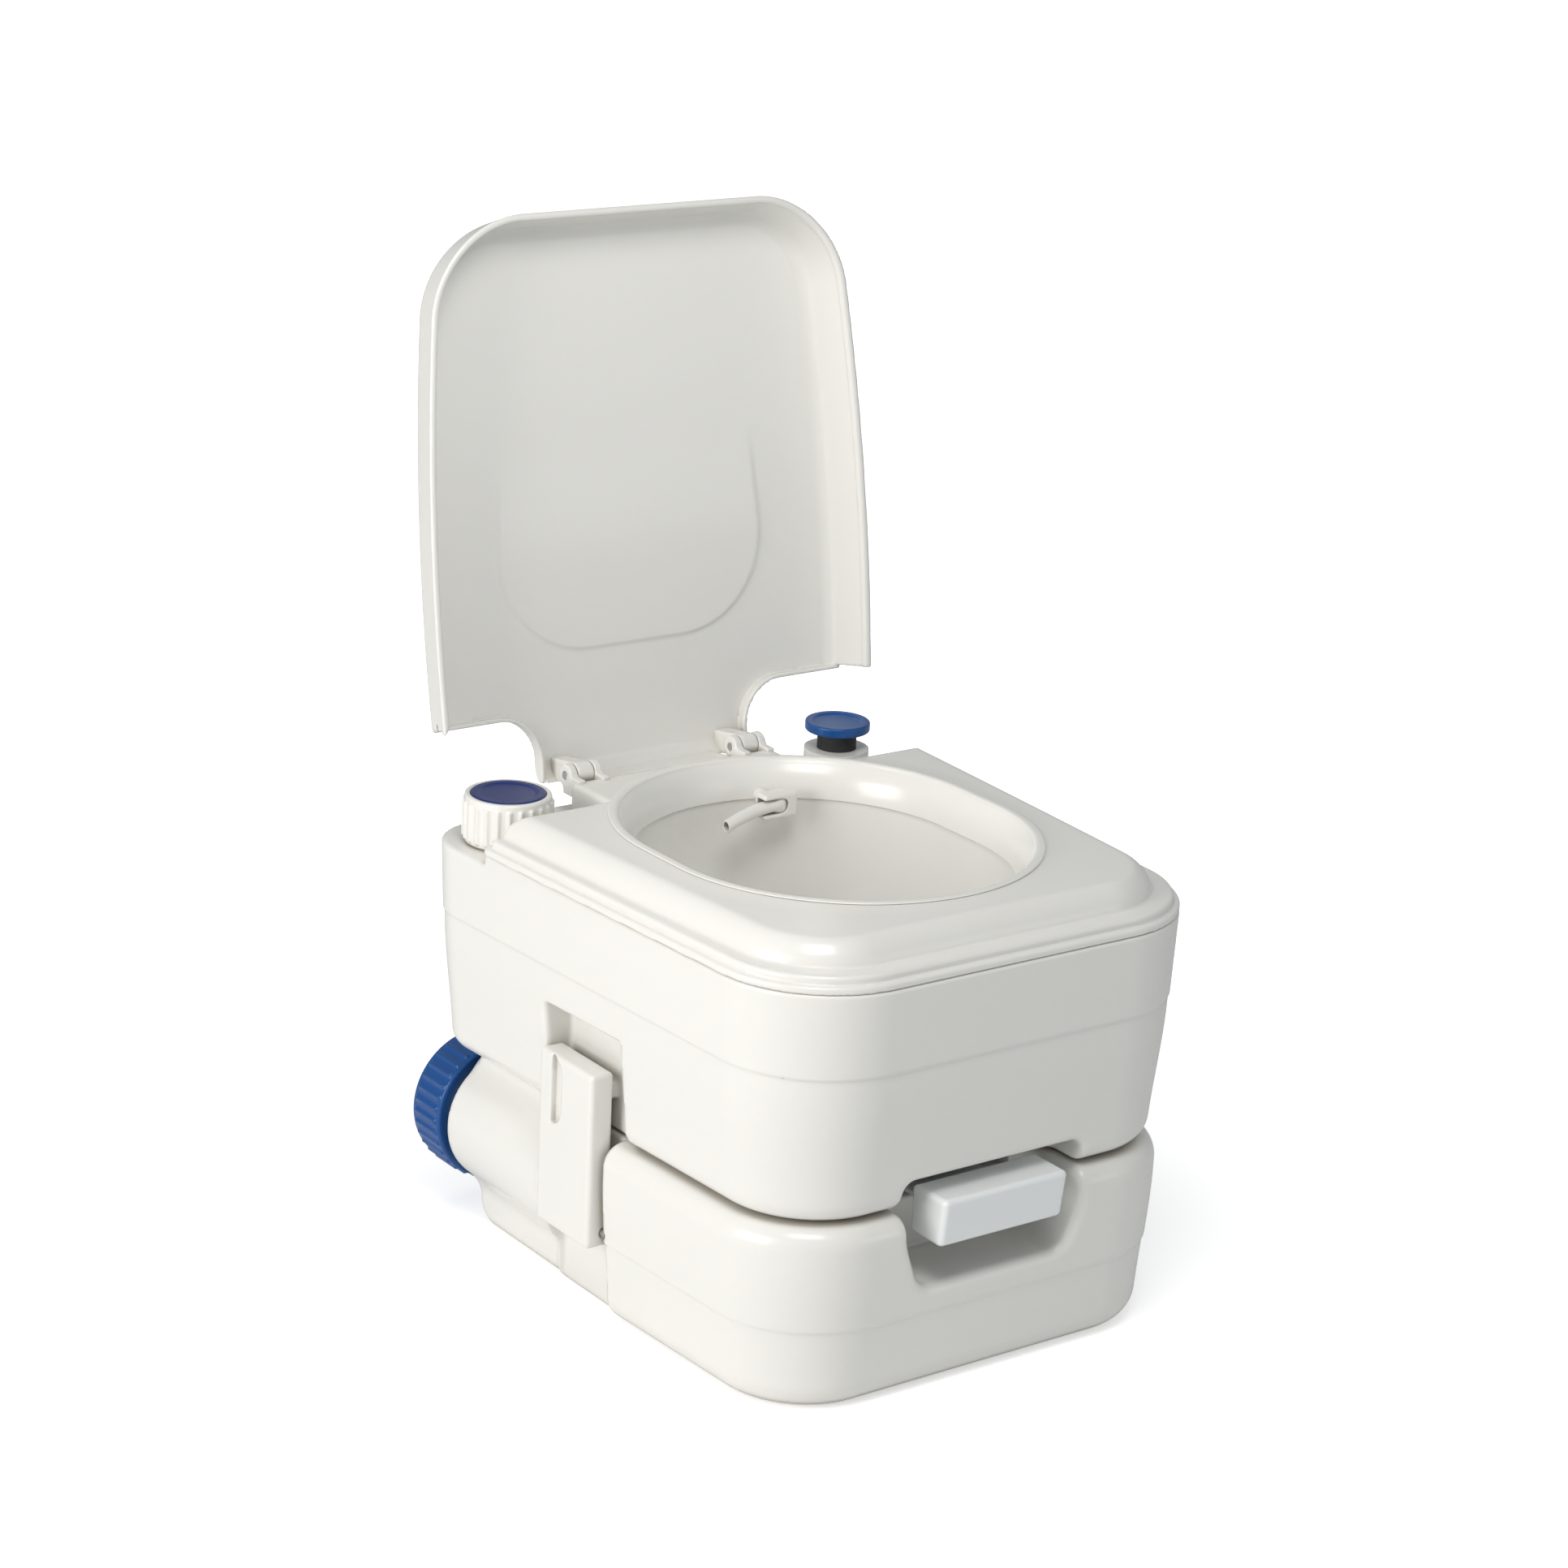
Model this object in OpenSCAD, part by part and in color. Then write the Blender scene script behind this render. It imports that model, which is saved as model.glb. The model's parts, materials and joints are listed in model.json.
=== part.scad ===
// Portable camp toilet: a flush tank with seat, bowl and lid on a removable waste tank.
// Frame: origin on the floor under the middle of the tanks, +Z up, front at -Y, millimetres.

/* [Tanks] */
// Width of the tanks at the rear
body_w = 380; // [372:1:390]
// Width of the tanks at the front
front_w = 342; // [338:1:350]
// Depth of the flush tank, front to rear
body_d = 413; // [410:1:418]
// Height of the joint between the two tanks
seam_z = 128; // [127:0.5:129]
// Height of the rim that carries the seat deck
rim_z = 286; // [284:1:288]
// Wall of the moulded tanks
wall = 4; // [3:0.5:5]
// Radius of the front corners
front_r = 70; // [60:1:76]
// Radius of the rear corners
rear_r = 42; // [36:1:48]

/* [Seat] */
// Height of the seat surface
seat_z = 312; // [311:0.5:313]
// Radius of the round ends of the bowl opening
bowl_r = 118; // [114:1:119]
// Distance of each round end from the middle of the opening
bowl_shift = 20; // [16:1:22]
// Inner radius of the bowl outlet
outlet_r = 42; // [40:0.5:42]
// Distance of the bowl outlet behind the middle
outlet_y = 20; // [18:1:22]

/* [Lid] */
// Angle of the open lid from its closed position
lid_open = 98.5; // [92:0.5:104]
// Length of the lid forward of its hinge
lid_len = 383; // [382:1:388]
// Depth of the lid, panel to skirt edge
lid_depth = 38; // [36:1:39]

/* [Moving parts] */
// Travel of the slide valve
valve_travel = 95; // [93:1:100]
// Travel of the flush pump
pump_travel = 12; // [8:1:12]
// Running clearance of pins and shafts, on the radius
run_gap = 0.05; // [0.02:0.01:0.08]
// Gap between parts that only sit side by side
side_gap = 0.3; // [0.2:0.05:0.4]

/* [Hidden] */
$fn = 64;
ivory = [0.93, 0.92, 0.89];
cool_white = [0.87, 0.89, 0.89];
cap_blue = [0.06, 0.28, 0.58];
rubber_black = [0.08, 0.08, 0.09];
steel = [0.72, 0.73, 0.75];
cut = 1;                            // how far a cutter runs past the face it opens
front_y = -body_d / 2;
rear_y = body_d / 2;
flush_low = seam_z + 1;
waste_top = seam_z - 1;
shoulder_z = rim_z - 8;             // top of the flush tank behind the seat
shoulder_y = 126;                   // where that lower top starts
// hinge of the lid
hinge_y = 190;
hinge_z = 305;
lug_r = 8;
pin_r = 3;
lug_x = 69;                         // middle of each hinge, left and right
lug_w = 13;
ear_w = 6;
tongue_half = 84;                   // half width of the deck's and the lid's rear tongues
skirt_z = rim_z + 12.5;
lid_top = skirt_z + lid_depth;
lid_rear = 148;
lid_rear_half = 180;
lid_front_half = front_w / 2 - 9;
lid_wall = 3;
// side latches
latch_y = 24;
latch_w = 62;
latch_low = 52;
latch_high = 174;
latch_out = 183;
latch_in = 165.5;
latch_axis_x = 170;
latch_axis_z = 62;
recess_front = -25;                 // ends of the pocket that each latch lies in
recess_rear = 58;
slot_gap = 4;                       // gap in front of the latch in the waste tank
recess_x = 157;
slot_y = latch_y - latch_w / 2 - slot_gap;
pin_half = latch_w / 2 + slot_gap + 1.5;
recess_top = 203;
// slide valve
frame_half = 66;
frame_front = -62;
frame_rear = 92;
frame_low = seam_z - 21;
blade_low = frame_low + 8;
blade_t = 3;
blade_half = 52;
blade_rear = 74;
recess_floor = 74;                  // floor of the hand hollow under the valve handle
hollow_half = 70;
hollow_rear = -145;
handle_half = 50;
handle_rear = -176;
notch_half = 72;                    // hollow in the flush tank over the handle
notch_rear = -160;
notch_top = seam_z + 20;
// filler and pump
filler = [-146, 160];
filler_h = 25;                      // height of the filler neck
pump = [126, 158];
barrel_in = 15;
barrel_wall = 3;
barrel_low = 176;
collar_top = seat_z - 8;
knob_low = collar_top + pump_travel + 1;
knob_t = 7;
stem_r = 14;
piston_z = 246;
piston_t = 12;
spring_low = barrel_low + 10;
// flush line
nozzle_x = 40;
nozzle_z = 290;
hose_y = 157;
hose_r = 5;
nozzle_r = 5;
// pour-out spout at the rear left
spout_x = -132;
spout_z = 70;
barrel_r = 47;
waste_rear = 178;
neck_r = 38;
neck_end = 206;
cap_r = 51;
cap_front = 184;
cap_end = 218;

// four corner discs of the tapered plan, all at one height
module plan_discs(half_rear, half_front, y_front, y_rear, r_front, r_rear, inset, z) {
    for (side = [-1, 1]) {
        translate([side * (half_front - r_front), y_front + r_front, z])
            cylinder(r = r_front - inset, h = 1, $fn = 32);
        translate([side * (half_rear - r_rear), y_rear - r_rear, z])
            cylinder(r = r_rear - inset, h = 1, $fn = 32);
    }
}

// plan of the flush tank at one height
module flush_plan(inset, z) {
    plan_discs(body_w / 2, front_w / 2, front_y, rear_y, front_r, rear_r, inset, z);
}

// plan of the waste tank at one height
module waste_plan(inset, z) {
    plan_discs(body_w / 2 - 2, front_w / 2 - 2, front_y + 2, waste_rear, front_r, rear_r, inset, z);
}

// flush tank block, drawn in by inset all round
module flush_block(inset, z_low, z_high) {
    hull() {
        flush_plan(14 + inset, z_low);
        flush_plan(5 + inset, z_low + 12);
        flush_plan(1.2 + inset, rim_z - 56);
        flush_plan(inset, z_high - 1);
    }
}

// waste tank block, drawn in by inset all round
module waste_block(inset, z_low, z_high) {
    hull() {
        waste_plan(20 + inset, z_low);
        waste_plan(5 + inset, z_low + 16);
        waste_plan(2 + inset, z_high - 20);
        waste_plan(12 + inset, z_high - 1);
    }
}

// box given by its two opposite corners
module span(a, b) {
    translate(a) cube(b - a);
}

// a pocket for one side latch that starts at y_low, wider by grow on its closed sides
module latch_pocket(side, y_low, z_low, z_high, grow) {
    x_in = recess_x - grow;
    low = [side > 0 ? x_in : -220, y_low - grow, z_low];
    span(low, [side > 0 ? 220 : -x_in, recess_rear + grow, z_high]);
}

// oval of two round ends, as a solid of height t
module oval(r, shift, z, t) {
    for (end = [-1, 1]) {
        translate([0, end * shift, z]) cylinder(r = r, h = t, $fn = 64);
    }
}

// ring around a vertical axis
module ring(r_out, r_in, h) {
    difference() {
        cylinder(r = r_out, h = h);
        translate([0, 0, -cut]) cylinder(r = r_in, h = h + 2 * cut);
    }
}

// cylinder lying along X, from x = 0 to x = len
module rod_x(r, len) {
    rotate([0, 90, 0]) cylinder(r = r, h = len);
}

// cylinder lying along Y, from y = 0 to y = len
module rod_y(r, len) {
    rotate([-90, 0, 0]) cylinder(r = r, h = len);
}

// pockets in the top and front of the waste tank for the slide valve and its handle
module valve_pockets(grow) {
    gap = side_gap + grow;
    span([-frame_half - gap, frame_front - gap, frame_low - grow],
         [frame_half + gap, frame_rear + gap, seam_z + 2 * cut]);
    span([-blade_half - 3 - grow, hollow_rear - cut, blade_low - 4 - grow],
         [blade_half + 3 + grow, frame_front + cut, seam_z + 2 * cut]);
    span([-hollow_half - grow, front_y - 2 * cut, recess_floor - grow],
         [hollow_half + grow, hollow_rear + grow, seam_z + 2 * cut]);
}

module waste_tank() {
    color(ivory) difference() {
        union() {
            difference() {
                waste_block(0, 0, waste_top);
                span([-220, recess_rear, -cut], [-158, waste_rear + cut, seam_z]);
            }
            translate([spout_x, recess_rear, spout_z])
                rod_y(barrel_r, waste_rear - recess_rear);
            translate([spout_x, waste_rear - cut, spout_z]) rod_y(neck_r, neck_end - waste_rear + cut);
        }
        // inside of the tank
        difference() {
            waste_block(wall, wall, waste_top - wall);
            span([-220, recess_rear - wall, 0], [-158 + wall, waste_rear + cut, seam_z]);
            valve_pockets(wall);
            for (side = [-1, 1]) latch_pocket(side, slot_y, -cut - wall, seam_z, wall);
        }
        // inside of the spout barrel and its neck
        translate([spout_x, recess_rear + wall, spout_z])
            rod_y(barrel_r - wall, waste_rear - recess_rear - 2 * wall);
        translate([spout_x, waste_rear - 2 * wall, spout_z]) rod_y(neck_r - wall, 60);
        valve_pockets(0);
        for (side = [-1, 1]) latch_pocket(side, slot_y, -cut, seam_z + cut, 0);
        // outlet hole and screw holes in the floor of the valve pocket
        translate([0, outlet_y, frame_low - 2 * wall]) cylinder(r = outlet_r, h = 3 * wall);
        valve_screw_places() translate([0, 0, frame_low - 2 * wall])
            cylinder(r = 2 + run_gap, h = 3 * wall);
        // blind holes for the latch pins
        latch_pin_places() translate([0, -pin_half - 0.5, 0]) rod_y(pin_r + run_gap, 2 * pin_half + 1);
    }
}

module flush_tank() {
    color(ivory) difference() {
        union() {
            difference() {
                flush_block(0, flush_low, rim_z);
                span([-220, shoulder_y, shoulder_z], [220, 220, rim_z + cut]);
            }
            translate([filler[0], filler[1], shoulder_z - 1]) cylinder(r = 24, h = filler_h);
        }
        // inside of the tank, open under the deck
        difference() {
            flush_block(wall, flush_low + wall, rim_z + 2);
            span([-220, shoulder_y - wall, shoulder_z - wall], [220, 220, rim_z + 3]);
            span([-notch_half - wall, front_y - cut, 0], [notch_half + wall, notch_rear + wall, notch_top + wall]);
            for (side = [-1, 1]) latch_pocket(side, recess_front, 0, recess_top + wall, wall);
        }
        // hollow over the valve handle
        span([-notch_half, front_y - cut, 0], [notch_half, notch_rear, notch_top]);
        for (side = [-1, 1]) {
            difference() {
                latch_pocket(side, recess_front, 0, recess_top, 0);
                // catch that the latch lies behind
                translate([side * (recess_x + 4), latch_y, latch_high - 16]) cube([8, 48, 12], center = true);
            }
        }
        // clearance for the bowl in the shoulder and the floor
        hull() oval(bowl_r + 8, bowl_shift, shoulder_z - wall - cut, rim_z);
        translate([0, outlet_y, seam_z - 2]) cylinder(r = outlet_r + 6, h = wall + 4);
        translate([filler[0], filler[1], shoulder_z - 2 * wall]) cylinder(r = 20, h = 40);
        translate([pump[0], pump[1], shoulder_z - 2 * wall])
            cylinder(r = barrel_in + barrel_wall + run_gap, h = 3 * wall);
        translate([nozzle_x, hose_y, shoulder_z - 2 * wall]) cylinder(r = hose_r + 1, h = 3 * wall);
    }
}

module seat_deck() {
    seat_inset = 20;
    seat_half_rear = 175;
    seat_half_front = lid_front_half - 9;
    color(ivory) difference() {
        union() {
            // ledge that the closed lid comes down over
            hull() {
                plan_discs(187, front_w / 2 - 1, front_y + 2, shoulder_y, front_r, 10, 0, rim_z);
                plan_discs(187, front_w / 2 - 1, front_y + 2, shoulder_y, front_r, 10, 3, skirt_z - 2.5);
            }
            // raised seat with rolled edges
            hull() {
                plan_discs(seat_half_rear, seat_half_front, front_y + seat_inset, 124, 56, 9, 0, skirt_z - 3);
                plan_discs(seat_half_rear, seat_half_front, front_y + seat_inset, 124, 56, 9, 1.5, seat_z - 7);
                plan_discs(seat_half_rear, seat_half_front, front_y + seat_inset, 124, 56, 9, 8, seat_z - 1);
            }
            // tongue that carries the hinge
            span([-tongue_half, 110, rim_z + 0.05], [tongue_half, 180, skirt_z + 5]);
            span([-tongue_half, shoulder_y + side_gap, shoulder_z + 0.2], [tongue_half, 180, rim_z + 1]);
            for (x = [-lug_x, lug_x]) {
                for (side = [-1, 1]) hinge_ear(x + side * (lug_w + ear_w + 1) / 2);
            }
        }
        // hollow underside
        hull() {
            plan_discs(187, front_w / 2 - 1, front_y + 2, shoulder_y, front_r, 10, 4, rim_z - 2);
            plan_discs(187, front_w / 2 - 1, front_y + 2, shoulder_y, front_r, 10, 7, skirt_z - 7);
        }
        hull() {
            plan_discs(seat_half_rear, seat_half_front, front_y + seat_inset, 124, 56, 9, 6, rim_z - 2);
            plan_discs(seat_half_rear, seat_half_front, front_y + seat_inset, 124, 56, 9, 8.8, seat_z - 5);
        }
        span([-tongue_half + wall, 105, shoulder_z - cut], [tongue_half - wall, 180 - wall, skirt_z + 1]);
        span([-220, shoulder_y, 0], [-tongue_half, 220, skirt_z + 20]);
        span([tongue_half, shoulder_y, 0], [220, 220, skirt_z + 20]);
        hull() oval(bowl_r + 5, bowl_shift, rim_z - 10, 40);
        for (x = [-lug_x, lug_x]) {
            translate([x - 20, hinge_y, hinge_z]) rod_x(pin_r + run_gap, 40);
        }
    }
}

// one ear of the lid hinge on the deck, centred on x
module hinge_ear(x) {
    translate([x - ear_w / 2, hinge_y, hinge_z]) rod_x(lug_r, ear_w);
    span([x - ear_w / 2, 178, skirt_z - 4], [x + ear_w / 2, hinge_y, hinge_z + 4]);
}

module bowl() {
    waist_z = 225;
    waist_r = 98;
    funnel_z = 158;
    shell = 3;
    color(cool_white) difference() {
        union() {
            hull() {
                oval(bowl_r + shell, bowl_shift, seat_z, 1);
                oval(waist_r + shell, bowl_shift - 4, waist_z, 1);
            }
            hull() {
                oval(waist_r + shell, bowl_shift - 4, waist_z, 1);
                translate([0, outlet_y, funnel_z]) cylinder(r = outlet_r + shell, h = 1, $fn = 64);
            }
            translate([0, outlet_y, seam_z + 1.3]) cylinder(r = outlet_r + shell, h = funnel_z - seam_z);
            hull() oval(bowl_r + 11, bowl_shift, seat_z + 0.05, 2);
        }
        hull() {
            oval(bowl_r, bowl_shift, seat_z + 4, 1);
            oval(waist_r, bowl_shift - 4, waist_z, 1);
        }
        hull() {
            oval(waist_r, bowl_shift - 4, waist_z, 1);
            translate([0, outlet_y, funnel_z]) cylinder(r = outlet_r, h = 1, $fn = 64);
        }
        translate([0, outlet_y, seam_z - 2]) cylinder(r = outlet_r, h = funnel_z + 3 - seam_z);
        // hole for the flush nozzle
        translate([nozzle_x, 90, nozzle_z]) rod_y(nozzle_r + 1, 60);
    }
}

// plan of the closed lid at one height, with swelling sides, carried past its rear edge
module lid_plan(past, inset, z) {
    lid_front = hinge_y - lid_len;
    plan_discs(lid_rear_half, lid_front_half, lid_front, lid_rear + past, 64, 12, inset, z);
    plan_discs(lid_rear_half + 1, lid_rear_half - 5, lid_front + 69, 104, 64, 64, inset, z);
}

// the lid as it lies when closed
module closed_lid() {
    difference() {
        union() {
            difference() {
                hull() {
                    lid_plan(40, 0, skirt_z);
                    lid_plan(40, 5, lid_top - 12);
                    lid_plan(40, 11.5, lid_top - 1);
                }
                hull() {
                    lid_plan(80, lid_wall, skirt_z - 2);
                    lid_plan(80, lid_wall + 5, lid_top - 12);
                    lid_plan(80, 11.8, lid_top - 1 - lid_wall);
                }
                span([-220, lid_rear, 0], [220, 300, lid_top + cut]);
            }
            span([-tongue_half, lid_rear - 2, lid_top - lid_wall], [tongue_half, hinge_y + lug_r, lid_top]);
            // apron between the hinges
            span([-54, hinge_y + lug_r - lid_wall, hinge_z - 4], [54, hinge_y + lug_r, lid_top]);
            for (x = [-lug_x, lug_x]) {
                translate([x - lug_w / 2, hinge_y, hinge_z]) rod_x(lug_r, lug_w);
                span([x - lug_w / 2, hinge_y - lug_r, hinge_z],
                     [x + lug_w / 2, hinge_y + lug_r, lid_top - 1]);
            }
        }
        for (x = [-lug_x, lug_x]) {
            translate([x - 20, hinge_y, hinge_z]) rod_x(pin_r + run_gap, 40);
        }
    }
}

module lid() {
    color(ivory) translate([0, hinge_y, hinge_z]) rotate([-lid_open, 0, 0])
        translate([0, -hinge_y, -hinge_z]) closed_lid();
}

module hinge_pins() {
    len = lug_w + 2 * ear_w + 1;
    color(steel) for (x = [-lug_x, lug_x]) {
        translate([x - len / 2, hinge_y, hinge_z]) rod_x(pin_r, len);
    }
}

module filler_cap() {
    low = shoulder_z + 1;
    h = 33;
    color(ivory) translate([filler[0], filler[1], low]) difference() {
        union() {
            cylinder(r = 30, h = h);
            for (a = [0 : 15 : 345]) rotate([0, 0, a]) translate([30, 0, 2]) cylinder(r = 1.5, h = h - 6);
        }
        translate([0, 0, -cut]) cylinder(r = 24 + 2 * run_gap, h = filler_h + 0.2 + cut);
        translate([0, 0, h - 4]) cylinder(r = 25.6, h = 5);
    }
}

module filler_cap_insert() {
    color(cap_blue) translate([filler[0], filler[1], shoulder_z + 30]) cylinder(r = 25.5, h = 4.5);
}

module filler_gasket() {
    color(rubber_black) translate([filler[0], filler[1], shoulder_z + filler_h - 1]) ring(23.5, 19, 2);
}

module pump_knob() {
    color(cap_blue) translate([pump[0], pump[1], knob_low]) difference() {
        cylinder(r = 23, h = knob_t);
        translate([0, 0, knob_t - 1.5]) cylinder(r = 20, h = 2);
    }
}

module pump_stem() {
    color(rubber_black) translate([pump[0], pump[1], 0]) union() {
        translate([0, 0, piston_z + piston_t]) cylinder(r = 4, h = 40);
        translate([0, 0, shoulder_z + 6]) cylinder(r = stem_r - run_gap, h = knob_low - shoulder_z - 6);
    }
}

module pump_piston() {
    color(rubber_black) translate([pump[0], pump[1], piston_z]) cylinder(r = barrel_in - run_gap, h = piston_t);
}

// centre of the spring's wire at turn t, and a ring of points around it
function coil(t, r, low, rise) = [r * cos(360 * t), r * sin(360 * t), low + rise * t];
function wire(t, r, low, rise, wire_r, sides) = [for (k = [0 : sides - 1])
    let (a = 360 * k / sides, c = coil(t, r + wire_r * cos(a), low, rise)) c + [0, 0, wire_r * sin(a)]];

module pump_spring() {
    turns = 6;
    steps = 20;
    sides = 6;
    count = turns * steps;
    rise = (piston_z - spring_low - 4) / turns;
    points = [for (i = [0 : count]) each wire(i / steps, 11, spring_low + 2, rise, 1.2, sides)];
    sheet = [for (i = [0 : count - 1], k = [0 : sides - 1])
        [i * sides + k, i * sides + (k + 1) % sides, (i + 1) * sides + (k + 1) % sides, (i + 1) * sides + k]];
    first = [for (k = [0 : sides - 1]) sides - 1 - k];
    last = [for (k = [0 : sides - 1]) count * sides + k];
    color(steel) translate([pump[0], pump[1], 0])
        polyhedron(points = points, faces = concat(sheet, [first], [last]), convexity = 6);
}

module pump_barrel() {
    color(cool_white) translate([pump[0], pump[1], 0]) difference() {
        translate([0, 0, barrel_low]) cylinder(r = barrel_in + barrel_wall, h = shoulder_z - barrel_low);
        translate([0, 0, barrel_low + 6]) cylinder(r = barrel_in, h = shoulder_z);
        translate([0, 0, barrel_low - cut]) cylinder(r = 5, h = 20);
        translate([-barrel_in - 2 * barrel_wall, 0, barrel_low + 14]) rod_x(hose_r + run_gap, 12);
    }
}

module pump_collar() {
    color(ivory) translate([pump[0], pump[1], shoulder_z + 0.02]) difference() {
        union() {
            cylinder(r = 26, h = 8);
            cylinder(r = 23, h = collar_top - shoulder_z);
        }
        translate([0, 0, -cut]) cylinder(r = stem_r, h = 40);
    }
}

module inlet_valve() {
    color(rubber_black) translate([pump[0], pump[1], barrel_low + 6.05]) cylinder(r = 9, h = 2);
}

module flush_hose() {
    out_x = pump[0] - barrel_in - barrel_wall;
    turn_x = out_x - 14;
    low_z = barrel_low + 14;
    high_z = shoulder_z - wall - 8;
    color([0.85, 0.87, 0.88]) union() {
        translate([turn_x, pump[1], low_z]) rod_x(hose_r, out_x - turn_x + 2);
        translate([turn_x, pump[1], low_z]) sphere(r = hose_r);
        translate([turn_x, pump[1], low_z]) cylinder(r = hose_r, h = high_z - low_z);
        translate([turn_x, pump[1], high_z]) sphere(r = hose_r);
        translate([nozzle_x, pump[1], high_z]) rod_x(hose_r, turn_x - nozzle_x);
        translate([nozzle_x, pump[1], high_z]) sphere(r = hose_r);
        translate([nozzle_x, pump[1], high_z]) cylinder(r = hose_r - 0.1, h = nozzle_z - high_z);
        translate([nozzle_x, pump[1], nozzle_z]) sphere(r = hose_r - 0.1);
        translate([nozzle_x, 142, nozzle_z]) rod_y(hose_r - 0.1, pump[1] - 142);
    }
}

module nozzle_bracket() {
    color(ivory) difference() {
        span([nozzle_x - 15, 102, nozzle_z - 9], [nozzle_x + 13, 115, nozzle_z + 9]);
        translate([nozzle_x, 100, nozzle_z]) rod_y(nozzle_r + 0.1, 30);
        span([nozzle_x - 20, 101, nozzle_z - 5.2], [nozzle_x, 112, nozzle_z + 5.2]);
    }
}

module flush_nozzle() {
    color(ivory) difference() {
        union() {
            translate([nozzle_x, 104, nozzle_z]) rod_y(nozzle_r, 37.9);
            translate([nozzle_x - 46, 107, nozzle_z]) rod_x(nozzle_r - 0.5, 46);
        }
        translate([nozzle_x - 46 - cut, 107, nozzle_z]) rod_x(3.2, 42);
    }
}

module outlet_seal() {
    color(rubber_black) translate([0, outlet_y, blade_low + blade_t + 0.3])
        ring(outlet_r + 4, outlet_r, seam_z + 1 - blade_low - blade_t - 0.3);
}

// the four places where the valve frame is screwed down
module valve_screw_places() {
    for (x = [-59, 59], y = [frame_front + 10, frame_rear - 10]) translate([x, y, 0]) children();
}

module valve_frame() {
    color(cool_white) difference() {
        span([-frame_half, frame_front, frame_low], [frame_half, frame_rear, waste_top]);
        span([-blade_half - side_gap, frame_front - cut, blade_low - 0.1],
             [blade_half + side_gap, blade_rear + 1, blade_low + blade_t + 0.2]);
        translate([0, outlet_y, frame_low - cut]) cylinder(r = outlet_r, h = 30);
        translate([0, outlet_y, blade_low + blade_t]) cylinder(r = outlet_r + 4.1, h = 30);
        valve_screw_places() translate([0, 0, frame_low - cut]) cylinder(r = 2 + run_gap, h = 40);
        valve_screw_places() translate([0, 0, waste_top - 4]) cylinder(r = 4.2, h = 10);
    }
}

module valve_screws() {
    color(steel) valve_screw_places() union() {
        translate([0, 0, frame_low - wall + 0.5]) cylinder(r = 2, h = waste_top - 4 - frame_low + wall);
        translate([0, 0, waste_top - 4]) cylinder(r = 4, h = 3);
    }
}

module valve_blade() {
    color([0.80, 0.82, 0.82]) union() {
        span([-blade_half, frame_front - 6, blade_low], [blade_half, blade_rear, blade_low + blade_t]);
        span([-32, handle_rear + 0.05, blade_low], [32, frame_front, blade_low + blade_t]);
    }
}

module valve_handle() {
    color(cool_white) difference() {
        span([-handle_half, front_y - 4, seam_z - 25], [handle_half, handle_rear, seam_z + 8]);
        // finger hollow under the handle
        span([-handle_half + 5, front_y + 3, seam_z - 32], [handle_half - 5, handle_rear - 4, seam_z + 2]);
    }
}

// one latch: a tapered block on a pin, seen in the plane across the pin and drawn along it
module latch(side) {
    outline = [[latch_out, latch_low + 4], [latch_out, latch_high - 3], [latch_out - 3, latch_high],
               [latch_in, latch_high], [latch_in, latch_high - 10], [latch_in + 4, latch_low + 70],
               [latch_axis_x - 6, latch_axis_z + 6], [latch_axis_x - 6, latch_low], [latch_out - 4, latch_low]];
    color(ivory) mirror([side < 0 ? 1 : 0, 0, 0]) difference() {
        translate([0, latch_y + latch_w / 2, 0]) rotate([90, 0, 0])
            linear_extrude(height = latch_w) polygon(outline);
        translate([latch_axis_x, 0, latch_axis_z]) translate([0, latch_y - latch_w, 0])
            rod_y(pin_r + run_gap, 2 * latch_w);
        // finger scoop
        translate([latch_out + 3, latch_y + 12, latch_high - 34]) cylinder(r = 7, h = 26);
    }
}

module left_latch() {
    latch(-1);
}

module right_latch() {
    latch(1);
}

// both latch hinges, each with its axis along Y and its middle at the latch
module latch_pin_places() {
    for (side = [-1, 1]) translate([side * latch_axis_x, latch_y, latch_axis_z]) children();
}

module latch_pins() {
    color(steel) latch_pin_places() translate([0, -pin_half, 0]) rod_y(pin_r, 2 * pin_half);
}

module spout_cap() {
    color(cap_blue) translate([spout_x, cap_front, spout_z]) difference() {
        union() {
            rod_y(cap_r - 1.5, cap_end - cap_front);
            for (a = [0 : 10 : 350]) rotate([0, a, 0]) translate([cap_r - 1.5, 3, 0])
                rod_y(1.5, cap_end - cap_front - 6);
        }
        translate([0, -cut, 0]) rod_y(neck_r + 2 * run_gap, neck_end - cap_front + 3.2 + cut);
    }
}

module spout_gasket() {
    color(rubber_black) translate([spout_x, neck_end + 0.2, spout_z]) rotate([-90, 0, 0]) ring(37.5, 31, 2.8);
}

waste_tank();
flush_tank();
seat_deck();
bowl();
lid();
hinge_pins();
filler_cap();
filler_cap_insert();
filler_gasket();
pump_knob();
pump_stem();
pump_piston();
pump_spring();
pump_barrel();
pump_collar();
inlet_valve();
flush_hose();
nozzle_bracket();
flush_nozzle();
outlet_seal();
valve_frame();
valve_blade();
valve_handle();
valve_screws();
left_latch();
right_latch();
latch_pins();
spout_cap();
spout_gasket();
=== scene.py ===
"""Portable camp toilet: the visible mouldings and their materials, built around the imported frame."""
import json
import math

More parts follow.
